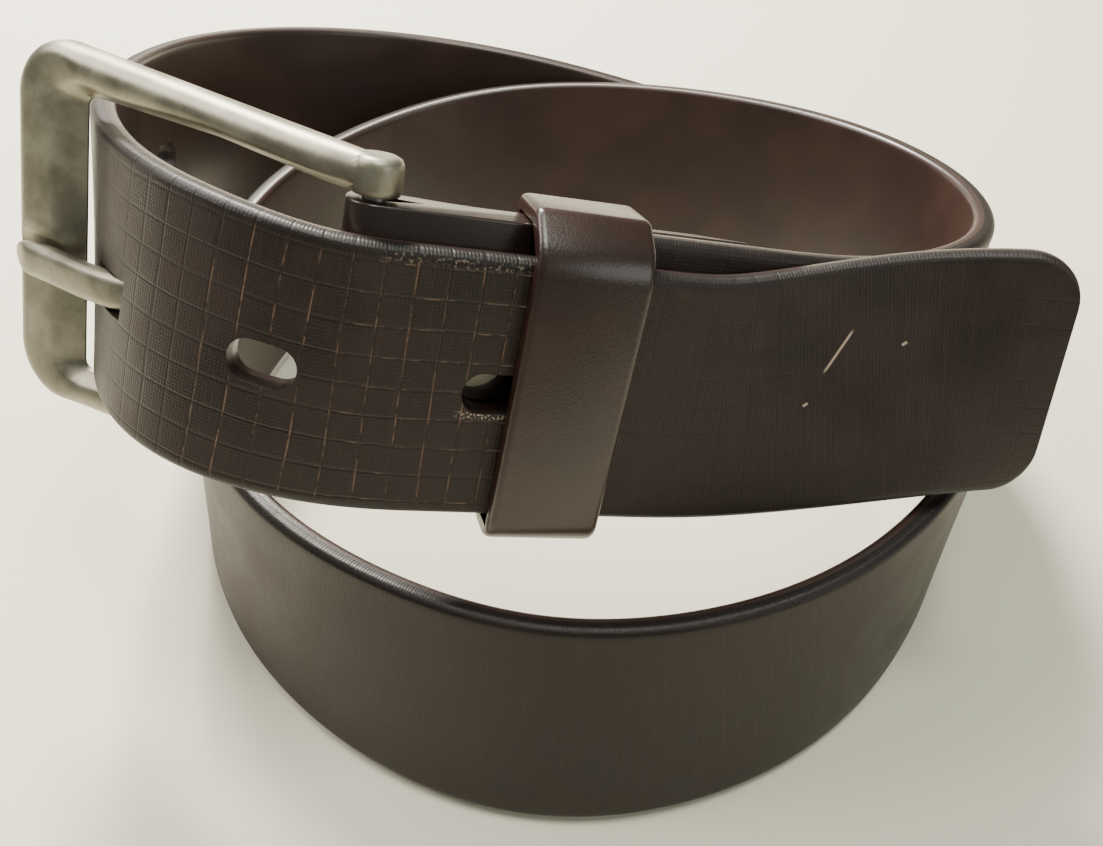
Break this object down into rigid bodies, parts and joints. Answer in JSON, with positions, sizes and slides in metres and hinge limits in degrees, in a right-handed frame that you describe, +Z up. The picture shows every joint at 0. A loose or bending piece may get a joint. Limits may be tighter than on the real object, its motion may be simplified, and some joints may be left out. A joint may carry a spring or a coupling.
{
  "type": "leather belt",
  "caption": "Buckled leather dress belt coiled round itself, with a metal frame buckle, prong, sliding keeper loop and free tail.",
  "frame": {"origin": "middle of the coiled belt's footprint, on the surface that it stands on", "axes": "+Z up, -Y towards the buckled front of the coil, +X towards the tail's free end"},
  "size_m": [0.155, 0.1504, 0.0865],
  "materials": {
    "embossed_leather": "dark brown leather, semi-gloss, embossed with fine crossed lines",
    "plain_leather": "smooth dark brown leather, polished",
    "buckle_metal": "antique nickel, satin",
    "hardware_steel": "plain steel, satin"
  },
  "bodies": {
    "strap": {"strap_outer": "embossed_leather", "strap_lining": "plain_leather", "chape": "plain_leather", "screw_posts": "buckle_metal", "chape_screws": "hardware_steel"},
    "tail": {"tail_outer": "embossed_leather", "tail_lining": "plain_leather"},
    "keeper": {"keeper_loop": "plain_leather", "keeper_staple": "hardware_steel"},
    "buckle": {"buckle_frame": "buckle_metal", "heel_bar": "hardware_steel"},
    "prong": {"prong": "buckle_metal"}
  },
  "joints": [
    {"name": "keeper_slide", "type": "slide", "parent": "strap", "child": "keeper", "axis": [0.9465, 0.1926, -0.2588], "range_m": [-0.007, 0.0025]},
    {"name": "tail_flex", "type": "hinge", "parent": "strap", "child": "tail", "pos_m": [0.01223, -0.04093, 0.05472], "axis": [-0.1605, -0.4149, -0.8956], "range_deg": [0, 25], "stiffness_Nm_per_rad": 0.02},
    {"name": "buckle_swing", "type": "hinge", "parent": "strap", "child": "buckle", "pos_m": [-0.02373, -0.04001, 0.06453], "axis": [0.1605, 0.4149, 0.8956], "range_deg": [0, 1]},
    {"name": "prong_lift", "type": "hinge", "parent": "buckle", "child": "prong", "pos_m": [-0.02373, -0.04001, 0.06453], "axis": [0.1605, 0.4149, 0.8956], "range_deg": [0, 1]}
  ]
}
